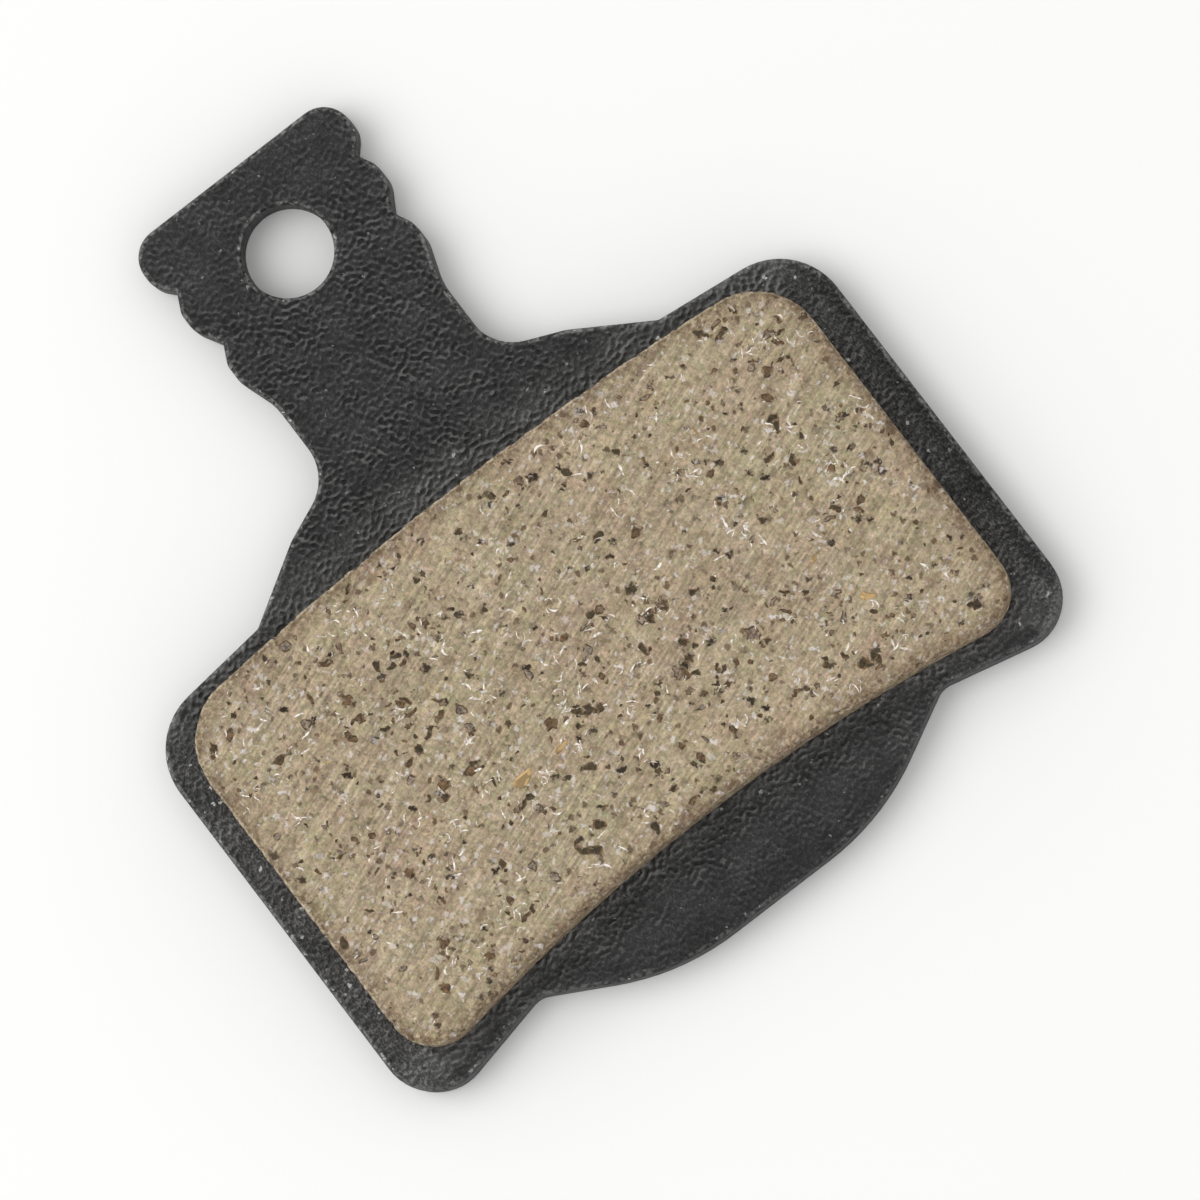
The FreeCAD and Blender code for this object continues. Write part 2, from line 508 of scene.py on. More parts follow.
    def tone(self, put: Put, mm: Node, relief: Node, strips: Node) -> Node:
        """Colours the coat from crease to ridge with painted shade and highlight, dusts it beside the block
        and lightens it there with painted light, and clouds it with haze, which also carries painted light
        below the block and a darkening towards the bulge's foot.

        Args:
            put: Adds a node to the coat's tree.
            mm: The place on the plate, mm.
            relief: The coat's relief.
            strips: Strength of the strips beside the block.

        Returns:
            The colour.
        """
        # Painted shade darkens the creases and painted highlight lightens the ridges, beside the bump's own
        # shading.
        low = put("MapRange", self.crease_tone.along(relief))
        tone = put("Mix", {"Factor": low, "A": linear(self.crease), "B": linear(self.coat)}, data_type="RGBA")
        high = put("MapRange", self.ridge_tone.along(relief))
        tone = put("Mix", {"Factor": high, "A": tone, "B": linear(self.ridge)}, data_type="RGBA")
        # Beside the block the coat is paler: dusted, and painted light that lifts the block's shadow and
        # occlusion.
        gain = put("Math", {0: strips, 1: self.dust_gain, 2: 1.0}, operation="MULTIPLY_ADD")
        tone = put("VectorMath", {0: tone, "Scale": gain}, operation="SCALE")
        veil = put("Math", {0: strips, 1: self.dust_veil}, operation="MULTIPLY")
        tone = put("Mix", {"Factor": veil, "A": tone, "B": linear(self.dust)}, data_type="RGBA")
        haze = put("MapRange", self.haze_shade.along(put("TexNoise", self.haze.over(mm))))
        # The haze also takes the bulge's painted light below the block and its darkening towards the foot.
        up = put("SeparateXYZ", {0: mm}).outputs["Y"]
        for change in (self.bulge_foot, self.bulge_light):
            haze = put("Math", {0: haze, 1: put("MapRange", change.along(up))}, operation="MULTIPLY")
        return put("VectorMath", {0: tone, "Scale": haze}, operation="SCALE")

    def wear(self, put: Put, mm: Node, turn: Socket, strips: Node, bulge: Node, tone: Node) -> Node:
        """Rubs the rims paler, where the coat turns from face to wall and is thin, with painted highlight in
        it where the rounded rims catch the light, and adds the small marks, the chips among them partly
        painted glints.

        Args:
            put: Adds a node to the coat's tree.
            mm: The place on the plate, mm.
            turn: How far the surface faces front.
            strips: Strength of the strips beside the block.
            bulge: Share of the wear that is left on the bulge.
            tone: The colour so far.

        Returns:
            The worn colour.
        """
        rim = bulge
        for change in (self.rim_inner, self.rim_outer):
            rim = put("Math", {0: rim, 1: put("MapRange", change.along(turn))}, operation="MULTIPLY")
        worn = put("TexNoise", self.worn.over(mm))
        dots = put("TexNoise", self.dots.over(mm))
        patchy = put("Math", {0: worn, 1: dots}, operation="ADD")
        patchy = put("MapRange", self.rubbed_patch.along(patchy))
        # The rims' paler patches are wear and painted highlight together.
        rubbed = put("Math", {0: rim, 1: patchy}, operation="MULTIPLY")
        tone = put("Mix", {"Factor": rubbed, "A": tone, "B": linear(self.rubbed)}, data_type="RGBA")

        # Marks are cells bent out of round, few of them filled; flecks and chips come in clusters.
        bend = put("VectorMath", {0: dots.outputs["Color"], 1: MID_GREY}, operation="SUBTRACT")
        bend = put("VectorMath", {0: bend, "Scale": self.flecks.cell_mm}, operation="SCALE")
        bent = put("VectorMath", {0: mm, 1: bend}, operation="ADD")
        cluster = put("MapRange", self.worn_cluster.along(worn))
        for mark, limits in (
            (self.specks, ()),
            (self.flecks, (cluster, strips)),
            (self.chips, (cluster, rim)),
        ):
            cells = put("TexVoronoi", {"Vector": bent, "Scale": 1 / mark.cell_mm})
            lot = put("SeparateColor", {0: cells.outputs["Color"]})
            fill = put("MapRange", Ramp(1 - mark.share, 1.0, 0.0, mark.reach).along(lot.outputs["Red"]))
            inside = put("Math", {0: fill, 1: cells.outputs["Distance"]}, operation="SUBTRACT")
            shown = put("MapRange", self.mark_edge.along(inside))
            for limit in limits:
                shown = put("Math", {0: shown, 1: limit}, operation="MULTIPLY")
            tone = put("Mix", {"Factor": shown, "A": tone, "B": linear(mark.colour)}, data_type="RGBA")
        return tone


@dataclass(frozen=True)
class GrainLayer:
    """One kind of small grain in the binder: its colour, cell size, share of cells and shape."""

    colour: str
    cell_mm: float
    share: float
    reach: float
    weight: float
    turn_deg: float = 0.0
    stretch: float = 1.0
    sunk: float = 0.0

    @property
    def sizes(self) -> Ramp:
        """Reach of a grain in its cell, from the smallest to the largest."""
        return Ramp(0.0, 1.0, 0.6 * self.reach, 1.45 * self.reach)

    @property
    def strengths(self) -> Ramp:
        """Weight of a grain's colour, from the faintest to the strongest."""
        return Ramp(0.0, 1.0, 0.4 * self.weight, self.weight)


@dataclass(frozen=True)
class FrictionCompound:
    """Semi-metallic friction compound, hot pressed and ground flat.

    To the eye it is a dull beige binder, cloudy from place to place, peppered with small brown and
    dark grains and pale fibre ends whose white is partly painted glint, with faint grinding streaks, a brown
    rim of painted shade over the rounded edge and walls, and a painted highlight along the left and top
    edges.
    """

    name: str = "Semi-metallic friction compound, hot pressed and ground"
    binder: str = "#ABA281"
    pale: str = "#C1B59F"
    warm: str = "#A9917C"
    rosy: str = "#B59985"
    olive: str = "#A39C74"
    # Brown of the rim's painted shade
    scorched: str = "#6C5743"
    # Painted highlight of the left and top edges
    arris: str = "#D3C4A9"
    granule_mm: float = 0.17
    granule_hue: float = 0.5
    streak_mm: Point = (4.0, 0.13, 0.13)
    streak_turn_deg: float = 20.0
    relief_mm: float = 0.06
    gloss: Ramp = Ramp(0.0, 1.0, 0.76, 0.96)
    specular: float = 0.3

    # Clouds, and what each one's level changes
    cloud: Cloud = Cloud(3.0, 4.0, 0.6)
    cloud_tone: Ramp = Ramp(0.36, 0.64)
    patch: Cloud = Cloud(0.909, 4.0, 0.65)
    patch_tone: Ramp = Ramp(0.4, 0.68, 0.0, 0.75)
    crumb: Cloud = Cloud(0.24, 3.0, 0.6, 0.6)
    crumb_shade: Ramp = Ramp(0.36, 0.64, 0.80, 1.18)
    grit: Cloud = Cloud(0.10, 2.0, 0.6)
    grit_shade: Ramp = Ramp(0.32, 0.68, 0.84, 1.15)
    granule_shade: Ramp = Ramp(0.0, 1.0, 0.82, 1.15)
    streak_shade: Ramp = Ramp(0.3, 0.7, 0.76, 1.22)

    # Share of each in the relief, beside the grit's own
    streak_height: float = 0.5
    crumb_height: float = 0.9
    granule_height: float = -0.5

    # Small grains: cells bent by a cloud, in flocks, with chipped edges; each kind steps to other cells
    layers: tuple[GrainLayer, ...] = (
        GrainLayer("#76614B", 0.62, 0.32, 0.34, 0.75, 15.0, 1.3, 0.2),
        GrainLayer("#543E2B", 0.36, 0.36, 0.33, 0.95, 70.0, 1.2, 0.4),
        GrainLayer("#2C2219", 0.46, 0.34, 0.33, 1.00, -30.0, 1.4, 0.8),
        # Pale fibre ends, whose white is partly painted glint
        GrainLayer("#E6DFD8", 0.26, 0.36, 0.34, 0.88, 35.0, 1.6, -0.3),
        GrainLayer("#E2DAD3", 0.35, 0.28, 0.30, 0.88, -50.0, 2.0, -0.3),
    )
    layer_step: Point = (7.3, 3.1, 1.7)
    bend: Cloud = Cloud(0.2222)
    bend_share: float = 1.1
    flock: Cloud = Cloud(1.333)
    flock_luck: Ramp = Ramp(0.3, 0.7, 0.7, 1.3)
    chipping: float = 0.5
    grain_edge: Ramp = Ramp(0.0, 0.17)

    # Brown rim of painted shade over the rounded edge and walls, along the attribute rim and a ragged cloud
    burn_fade: float = 3.2
    burn_pressed: Ramp = Ramp(0.0, 0.08, 0.62, 1.0)
    ragged: Cloud = Cloud(0.2273, 4.0, 0.75)
    ragged_burn: Ramp = Ramp(0.36, 0.62, 1.5, 0.1)

    # Painted highlight on the arris: its line along the attribute rim, the left and top edges that face the
    # light, the upper side, the breaks
    arris_line: Ramp = Ramp(0.09, 0.045)
    lead_across: float = -0.06
    lead_up: float = 0.11
    arris_lead: Ramp = Ramp(-0.2, 0.4)
    arris_upper: Ramp = Ramp(0.2, 0.6)
    arris_breaks: Ramp = Ramp(0.38, 0.62, 0.0, 0.75)

    def material(self) -> bpy.types.Material:
        """Makes the compound.

        Returns:
            The material. It reads the block's own attribute rim, which is 0 at the outline.
        """
        material, put = blank_material(self.name)
        where = put("TexCoord")
        mm = put("Mapping", {"Vector": where.outputs["Object"], "Scale": PER_METRE})
        rim = put("Attribute", attribute_name=FrictionBlock.RIM).outputs["Fac"]
        turn = put("SeparateXYZ", {0: where.outputs["Normal"]}).outputs["Z"]
        crumb = put("TexNoise", self.crumb.over(mm))
        grit = put("TexNoise", self.grit.over(mm))
        tone, height = self.ground_binder(put, mm, crumb, grit)
        tone, height = self.pepper(put, mm, grit, tone, height)
        tone = self.scorch(put, mm, rim, tone)
        tone = self.break_arris(put, mm, rim, turn, crumb, tone)
        gloss = put("MapRange", self.gloss.along(grit))
        bump = put("Bump", {"Height": height, "Distance": self.relief_mm * MM, "Strength": 1.0})
        compound = put("BsdfPrincipled", {"Base Color": tone, "Roughness": gloss, "Normal": bump,
                                          "Specular IOR Level": self.specular})
        put("OutputMaterial", {"Surface": compound})
        return material

    def ground_binder(self, put: Put, mm: Node, crumb: Node, grit: Node) -> tuple[Node, Node]:
        """Colours the binder: slow clouds, paler patches, crumbs, granules, grit and grinding streaks.

        Args:
            put: Adds a node to the compound's tree.
            mm: The place on the block, mm.
            crumb: The cloud of crumbs.
            grit: The cloud of fine grit.

        Returns:
            The colour and the relief.
        """
        cloud = put("MapRange", self.cloud_tone.along(put("TexNoise", self.cloud.over(mm))))
        tone = put("Mix", {"Factor": cloud, "A": linear(self.warm), "B": linear(self.binder)},
                   data_type="RGBA")
        patch = put("MapRange", self.patch_tone.along(put("TexNoise", self.patch.over(mm))))
        tone = put("Mix", {"Factor": patch, "A": tone, "B": linear(self.pale)}, data_type="RGBA")

        # Granules are small cells that sway with the crumbs, each with a hue and a shade of its own.
        sway = put("VectorMath", {0: crumb.outputs["Color"], "Scale": self.granule_mm}, operation="SCALE")
        sway = put("VectorMath", {0: mm, 1: sway}, operation="ADD")
        granule = put("TexVoronoi", {"Vector": sway, "Scale": 1 / self.granule_mm})
        own = put("SeparateColor", {0: granule.outputs["Color"]})
        hue = put("Mix", {"Factor": own.outputs["Green"], "A": linear(self.rosy), "B": linear(self.olive)},
                  data_type="RGBA")
        tone = put("Mix", {"Factor": self.granule_hue, "A": tone, "B": hue}, data_type="RGBA")

        # Grinding streaks are long and narrow, and run across the face.
        lines = put("VectorRotate", {"Vector": mm, "Angle": math.radians(-self.streak_turn_deg)},
                    rotation_type="Z_AXIS")
        lines = put("Mapping", {"Vector": lines, "Scale": tuple(1 / size for size in self.streak_mm)})
        streak = put("TexNoise", UNIT_CLOUD.over(lines))
        shade = 1.0
        for change, level in (
            (self.crumb_shade, crumb),
            (self.grit_shade, grit),
            (self.granule_shade, own.outputs["Red"]),
            (self.streak_shade, streak),
        ):
            shade = put("Math", {0: shade, 1: put("MapRange", change.along(level))}, operation="MULTIPLY")
        tone = put("VectorMath", {0: tone, "Scale": shade}, operation="SCALE")
        height = grit
        for level, share in (
            (streak, self.streak_height),
            (crumb, self.crumb_height),
            (granule.outputs["Distance"], self.granule_height),
        ):
            height = put("Math", {0: level, 1: share, 2: height}, operation="MULTIPLY_ADD")
        return tone, height

    def pepper(self, put: Put, mm: Node, grit: Node, tone: Node, height: Node) -> tuple[Node, Node]:
        """Adds the small grains, kind by kind: some cells filled out to an uneven edge, in flocks.

        Args:
            put: Adds a node to the compound's tree.
            mm: The place on the block, mm.
            grit: The cloud of fine grit, which chips the edges.
            tone: The colour so far.
            height: The relief so far.

        Returns:
            The colour and the relief with the grains.
        """
        bend = put("TexNoise", self.bend.over(mm)).outputs["Color"]
        bend = put("VectorMath", {0: bend, 1: MID_GREY}, operation="SUBTRACT")
        flock = put("MapRange", self.flock_luck.along(put("TexNoise", self.flock.over(mm))))
        chip = put("Math", {0: grit, 1: 0.5}, operation="SUBTRACT")
        for number, layer in enumerate(self.layers):
            cell = 1 / layer.cell_mm
            push = put("VectorMath", {0: bend, "Scale": layer.cell_mm * self.bend_share}, operation="SCALE")
            bent = put("VectorMath", {0: mm, 1: push}, operation="ADD")
            bent = put("VectorRotate", {"Vector": bent, "Angle": math.radians(-layer.turn_deg)},
                       rotation_type="Z_AXIS")
            start = tuple(step * number for step in self.layer_step)
            bent = put("Mapping", {"Vector": bent, "Location": start,
                                   "Scale": (cell / layer.stretch, cell, cell)})
            cells = put("TexVoronoi", {"Vector": bent, "Scale": 1.0})
            lot = put("SeparateColor", {0: cells.outputs["Color"]})
            luck = put("Math", {0: lot.outputs["Red"], 1: flock}, operation="MULTIPLY")
            chosen = put("Math", {0: luck, 1: 1 - layer.share}, operation="GREATER_THAN")
            reach = put("MapRange", layer.sizes.along(lot.outputs["Green"]))
            reach = put("Math", {0: chip, 1: self.chipping, 2: reach}, operation="MULTIPLY_ADD")
            inside = put("Math", {0: reach, 1: cells.outputs["Distance"]}, operation="SUBTRACT")
            mask = put("MapRange", self.grain_edge.along(inside))
            for share in (chosen, put("MapRange", layer.strengths.along(lot.outputs["Blue"]))):
                mask = put("Math", {0: mask, 1: share}, operation="MULTIPLY")
            tone = put("Mix", {"Factor": mask, "A": tone, "B": linear(layer.colour)}, data_type="RGBA")
            height = put("Math", {0: mask, 1: -layer.sunk, 2: height}, operation="MULTIPLY_ADD")
        return tone, height

    def scorch(self, put: Put, mm: Node, rim: Socket, tone: Node) -> Node:
        """Paints brown shade on the rim, over the rounded edge and walls, fading inwards unevenly.

        Args:
            put: Adds a node to the compound's tree.
            mm: The place on the block, mm.
            rim: Distance from the outline, 0 to 1.
            tone: The colour so far.

        Returns:
            The colour with its rim.
        """
        # Painted shade: the rim darkens brown towards the outline.
        burn = put("Math", {0: 1.0, 1: rim}, operation="SUBTRACT")
        burn = put("Math", {0: burn, 1: self.burn_fade}, operation="POWER")
        ragged = put("TexNoise", self.ragged.over(mm))
        for change, level in ((self.ragged_burn, ragged), (self.burn_pressed, rim)):
            burn = put("Math", {0: burn, 1: put("MapRange", change.along(level))}, operation="MULTIPLY")
        return put("Mix", {"Factor": burn, "A": tone, "B": linear(self.scorched)}, data_type="RGBA")

    def break_arris(self, put: Put, mm: Node, rim: Socket, turn: Socket, crumb: Node, tone: Node) -> Node:
        """Paints a highlight on the left and top edges, which face the light, as a thin broken line.

        Args:
            put: Adds a node to the compound's tree.
            mm: The place on the block, mm.
            rim: Distance from the outline, 0 to 1.
            turn: How far the surface faces up.
            crumb: The cloud of crumbs.
            tone: The colour so far.

        Returns:
            The colour with its edges.
        """
        # Painted highlight, strongest on the left and top edges, which face the light.
        spread = put("SeparateXYZ", {0: mm})
        lead = put("Math", {0: spread.outputs["X"], 1: self.lead_across}, operation="MULTIPLY")
        lead = put("Math", {0: spread.outputs["Y"], 1: self.lead_up, 2: lead}, operation="MULTIPLY_ADD")
        line = put("MapRange", self.arris_line.along(rim))
        for change, level in ((self.arris_lead, lead), (self.arris_upper, turn), (self.arris_breaks, crumb)):
            line = put("Math", {0: line, 1: put("MapRange", change.along(level))}, operation="MULTIPLY")
        return put("Mix", {"Factor": line, "A": tone, "B": linear(self.arris)}, data_type="RGBA")


@dataclass(frozen=True)
class CokeGrain:
    """Petroleum coke and graphite grain, crushed and ground flush.

    To the eye it is mottled black, brown or ash grey, each grain its own shade, paler at its edge.
    """

    name: str = "Coke and graphite grain, crushed and ground flush"
    black: str = "#423929"
    brown: str = "#6A533C"
    ashen: str = "#827568"
    edge: str = "#8A775D"
    brown_lot: Ramp = Ramp(0.35, 0.6)
    ashen_lot: Ramp = Ramp(0.74, 0.86)
    mottle: Cloud = Cloud(0.16)
    mottle_shade: Ramp = Ramp(0.3, 0.7, 0.4, 1.7)
    mottle_reach: float = 0.9
    core_tone: Ramp = Ramp(0.4, 0.95)
    gloss: Ramp = Ramp(0.0, 1.0, 0.63, 0.93)
    specular: float = 0.25

    def material(self) -> bpy.types.Material:
        """Makes the grains' finish, a shade to each grain.

        Returns:
            The material. It reads the grains' own attribute core, which is 0 at a grain's edge.
        """
        material, put = blank_material(self.name)
        where = put("TexCoord")
        mm = put("Mapping", {"Vector": where.outputs["Object"], "Scale": PER_METRE})
        lot = put("NewGeometry").outputs["Random Per Island"]
        tone = linear(self.black)
        for share, colour in ((self.brown_lot, self.brown), (self.ashen_lot, self.ashen)):
            share = put("MapRange", share.along(lot))
            tone = put("Mix", {"Factor": share, "A": tone, "B": linear(colour)}, data_type="RGBA")
        mottle = put("TexNoise", self.mottle.over(mm))
        shade = put("MapRange", self.mottle_shade.along(mottle))
        tone = put("VectorMath", {0: tone, "Scale": shade}, operation="SCALE")
        core = put("Attribute", attribute_name=Grain.CORE).outputs["Fac"]
        core = put("Math", {0: mottle, 1: self.mottle_reach, 2: core}, operation="MULTIPLY_ADD")
        core = put("MapRange", self.core_tone.along(core))
        tone = put("Mix", {"Factor": core, "A": linear(self.edge), "B": tone}, data_type="RGBA")
        gloss = put("MapRange", self.gloss.along(mottle))
        grain = put("BsdfPrincipled", {"Base Color": tone, "Roughness": gloss,
                                       "Specular IOR Level": self.specular})
        put("OutputMaterial", {"Surface": grain})
        return material


@dataclass(frozen=True)
class ChoppedMetal:
    """Steel wool or brass, chopped and ground bright.

    To the eye it is small pale glints, some dulled by the binder smeared over them.
    """

    name: str
    bright: str
    dulled: str
    smear: Cloud = Cloud(0.25, 3.0)
    smear_dull: Ramp = Ramp(0.75, 1.25)
    shine: Ramp = Ramp(0.0, 1.0, 0.9, 0.25)
    gloss: Ramp = Ramp(0.0, 1.0, 0.4, 0.75)

    def material(self) -> bpy.types.Material:
        """Makes the metal, a shade to each fibre or chip.

        Returns:
            The material.
        """
        material, put = blank_material(self.name)
        where = put("TexCoord")
        mm = put("Mapping", {"Vector": where.outputs["Object"], "Scale": PER_METRE})
        lot = put("NewGeometry").outputs["Random Per Island"]
        dull = put("Math", {0: put("TexNoise", self.smear.over(mm)), 1: lot}, operation="ADD")
        dull = put("MapRange", self.smear_dull.along(dull))
        tone = put("Mix", {"Factor": dull, "A": linear(self.bright), "B": linear(self.dulled)},
                   data_type="RGBA")
        shine = put("MapRange", self.shine.along(dull))
        gloss = put("MapRange", self.gloss.along(dull))
        metal = put("BsdfPrincipled", {"Base Color": tone, "Roughness": gloss, "Metallic": shine})
        put("OutputMaterial", {"Surface": metal})
        return material


CHOPPED = {
    Metal.STEEL: ChoppedMetal("Steel wool fibre, chopped and ground bright", "#DAD3CB", "#C2B8AB"),
    Metal.BRASS: ChoppedMetal("Brass chip, chopped and ground bright", "#B29568", "#967F59"),
}


@dataclass
class BackingPlate:
    """The stamped plate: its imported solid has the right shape, and gets its coat."""

    node: str = "backing_plate"
    coat: TexturedCoat = field(default_factory=TexturedCoat)

    def dress(self, block: "FrictionBlock") -> bpy.types.Object:
        """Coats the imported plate.

        Args:
            block: The friction block, whose outline the coat's marked strips follow.

        Returns:
            The plate's object.
        """
        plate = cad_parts[self.node]
        finish = self.coat.material(block)
        for holder in plate.material_slots:
            holder.material = finish
        return plate


@dataclass(frozen=True)
class Bed:
    """The place of one inclusion in the ground face: its centre, size and turn, in mm and radians."""

    x: float
    y: float
    length: float
    width: float
    turn: float

    def reach(self, place: Vector) -> float:
        """Measures how far a place is from the centre, along the bed's long axis.

        Args:
            place: The place, mm.

        Returns:
            The distance in mm, stretched across the bed as much as the bed is slim.
        """
        off = Vector((place.x - self.x, place.y - self.y))
        off.rotate(Matrix.Rotation(-self.turn, 2))
        return math.hypot(off.x, off.y * self.length / self.width)

    def fill(self, shape: bpy.types.Object, height: float, depth: float,
             finish: bpy.types.Material) -> bpy.types.Object:
        """Sets a copy of a unit shape into the bed.

        Args:
            shape: The shape, its highest point at z = 0.
            height: Where its highest point goes, mm.
            depth: How deep it goes, mm.
            finish: The copy's material.

        Returns:
            The copy, with a mesh of its own.
        """
        copy = shape.copy()
        copy.data = shape.data.copy()
        size = Matrix.Diagonal((self.length, self.width, depth, 1.0))
        turn = Matrix.Rotation(self.turn, 4, "Z")
        copy.data.transform(Matrix.Translation((self.x, self.y, height)) @ turn @ size)
        copy.data.materials.clear()
        copy.data.materials.append(finish)
        bpy.context.collection.objects.link(copy)
        return copy


@dataclass(frozen=True)
class Lot:
    """One kind of inclusion: its count, lengths and depth in mm, how it flocks and how proud it stands."""

    count: int
    shortest: float
    longest: float
    bias: float
    depth: float
    clumping: float
    clump_reach: float
    proud: Span


@dataclass(frozen=True)
class Dig:
    """One kind of wear dug into the block: its zone, depth and grain in mm, and the cloud's levels."""

    name: str
    zone: Zone
    depth: float
    grain: float
    layers: int
    low: float
    high: float

    def texture(self) -> bpy.types.Texture:
        """Makes the cloud for a Displace modifier, cut to its lows so that it only digs in.

        Returns:
            The texture, 0 at full depth and 1 where nothing is dug.
        """
        texture = bpy.data.textures.new(self.name, "CLOUDS")
        texture.noise_scale = self.grain
        texture.noise_depth = self.layers
        texture.use_color_ramp = True
        first, last = texture.color_ramp.elements
        first.position, first.color = self.low, (0.0, 0.0, 0.0, 1.0)
        last.position, last.color = self.high, (1.0, 1.0, 1.0, 1.0)
        return texture


@dataclass
class FrictionBlock:
    """The moulded block with its arched outline, ground face, keying plugs and inclusions; sizes in mm."""

    RIM = "rim"
    DIG_WAY = {Zone.FACE: "Z", Zone.WALL: "NORMAL"}

    name: str = "friction_lining"
    left: float = -17.07
    right: float = 16.77
    top_crown: float = 9.754
    top_radius: float = 157.0
    bottom_crown: float = -8.56
    bottom_radius: float = 86.5
    top_corner_round: float = 2.9
    bottom_corner_round: float = 2.6
    corner_steps: int = 14
    seat: float = 2.0
    top: float = 4.0
    face_drop: float = 0.035
    edge_round: float = 0.09
    edge_steps: int = 3

    # The plugs overlap the block, and become one with it in the remesh
    plug_radius: float = 2.0
    plug_x: Span = (-9.15, 8.85)
    plug_y: float = 0.14
    plug_bottom: float = 0.2
    plug_overlap: float = 0.5
    plug_edge: float = 0.15
    plug_sides: int = 64

    # Mesh: columns that take the arch, the remesh, and which corners belong to the face and the walls
    column: float = 1.0
    column_margin: float = 3.0
    voxel: float = 0.12
    worn_above: float = 0.15
    face_turn: float = 0.8
    wall_turn: Span = (-0.5, 0.98)
    underside_turn: float = -0.99
    underside_depth: float = 0.03
    smooth_deg: float = 50.0

    # Wear: pull-outs and unevenness of the face, crumbs off the edges, and pits round the grains
    digs: tuple[Dig, ...] = (
        Dig("pull_outs", Zone.FACE, 0.07, 0.55, 2, 0.20, 0.33),
        Dig("unevenness", Zone.FACE, 0.02, 1.4, 1, 0.2, 0.8),
        Dig("crumbled_edge", Zone.WALL, 0.16, 0.42, 2, 0.2, 0.5),
        Dig("moulded_grain", Zone.WALL, 0.04, 0.2, 1, 0.2, 0.7),
    )
    pit_depth: float = 0.07
    pit_floor: float = 0.38
    pit_slope: float = 0.13
    rim_reach: float = 2.0

    # Inclusions: crushed grains, chopped fibres and a few brass chips, drawn also below the bottom's crown
    inclusion_margin: float = 0.45
    below_crown: float = 2.0
    host_share: float = 0.5
    slimness: Span = (0.5, 0.95)
    coke_lot: Lot = Lot(530, 0.27, 1.00, 2.3, 0.07, 0.4, 0.6, (0.025, 0.04))
    coke_kinds: int = 6
    steel_lot: Lot = Lot(620, 0.20, 0.62, 1.6, 0.03, 0.55, 0.35, (0.002, 0.009))
    steel_bows: tuple[float, ...] = (0.0, 0.05, 0.08, -0.06, -0.14)
    brass_kind: int = 1
    brass_proud: Span = (0.026, 0.031)
    brass_chips: tuple[Bed, ...] = (
        Bed(-6.0, -2.6, 1.65, 0.80, 0.05),
        Bed(-3.7, -2.45, 1.20, 0.36, 0.14),
        Bed(11.1, -5.35, 1.15, 0.50, -0.75),
        Bed(10.3, -2.65, 0.80, 0.26, 0.3),
        Bed(9.6, 5.1, 0.55, 0.20, 1.22),
        Bed(-12.3, 3.4, 0.50, 0.18, -0.61),
    )
    seed: int = 41
    compound: FrictionCompound = field(default_factory=FrictionCompound)
    coke: CokeGrain = field(default_factory=CokeGrain)

    @property
    def middle(self) -> float:
        """The line that the block is even about."""
        return (self.left + self.right) / 2

    @property
    def face(self) -> float:
        """Height of the binder's ground face, just under the metal in it."""
        return self.top - self.face_drop

    def sag(self, x: float, radius: float) -> float:
        """How far an arched edge has dropped from its crown at x."""
        return radius - math.sqrt(radius**2 - (x - self.middle) ** 2)

    def inset(self, x: float, y: float) -> float:
        """Measures the distance from a point to the nearest edge of the outline.

        Args:
            x: Place across the block, mm.
            y: Place up the block, mm.

        Returns:
            The distance in mm, below zero outside.
        """
        across = (self.right - self.left) / 2 - abs(x - self.middle)
        down = self.top_crown - self.sag(x, self.top_radius) - y
        up = y - self.bottom_crown + self.sag(x, self.bottom_radius)
        near, corner = (down, self.top_corner_round) if down < up else (up, self.bottom_corner_round)
        if across < corner and near < corner:
            return corner - math.hypot(corner - across, corner - near)
        return min(across, near)

    def build(self) -> bpy.types.Object:
        """Models the block and dresses it.

        Returns:
            The block, in metres, with its materials.
        """
        block = self.blank()
        self.join_plugs(block)
        apply_modifier(block, "REMESH", mode="VOXEL", voxel_size=self.voxel)
        self.roughen(block)
        draw = random.Random(self.seed)
        grain_beds = [bed for bed in self.beds(self.coke_lot, draw) if self.clear_of_brass(bed)]
        self.dig_pits(block, grain_beds)
        self.thin_underside(block)
        self.dress(block)
        self.add_inclusions(block, grain_beds, draw)
        self.to_metres(block)
        return block

    def blank(self) -> bpy.types.Object:
        """Cuts the plain block: a cube with round corners, arched column by column, its rim rounded.

        Returns:
            The block, in mm and in object mode.
        """
        deselect_all()
        size = (self.right - self.left, self.top_crown - self.bottom_crown, self.face - self.seat)
        centre = (self.middle, (self.top_crown + self.bottom_crown) / 2, (self.face + self.seat) / 2)
        bpy.ops.mesh.primitive_cube_add(size=1.0, location=centre, scale=size)
        block = start_from(self.name)
        for upper, corner in ((True, self.top_corner_round), (False, self.bottom_corner_round)):
            pick(block, Element.EDGES, lambda place, way: abs(way.z) > ALONG_Z and (place.y > 0) == upper
                 and abs(abs(place.x - self.middle) - size[0] / 2) < CLOSE)
            bpy.ops.mesh.bevel(offset=corner, segments=self.corner_steps, affect="EDGES")
        steps = int((size[0] - 2 * self.column_margin) / self.column)
        cut_across([self.middle + (step - steps / 2) * self.column for step in range(steps + 1)])
        columns = sorted({round(corner.co.x, 3) for corner in bmesh.from_edit_mesh(block.data).verts})
        for x in columns:
            for upper, radius in ((True, self.top_radius), (False, self.bottom_radius)):
                pick(block, Element.CORNERS,
                     lambda place, way: abs(place.x - x) < CLOSE and (place.y > 0) == upper)
                bpy.ops.transform.translate(value=(0.0, -self.sag(x, radius), 0.0))
        pick(block, Element.FACES, lambda place, way: way.z > ALONG_Z)
        bpy.ops.mesh.region_to_loop()
        bpy.ops.mesh.bevel(offset=self.edge_round, segments=self.edge_steps, affect="EDGES")
        bpy.ops.object.mode_set(mode="OBJECT")
        return block

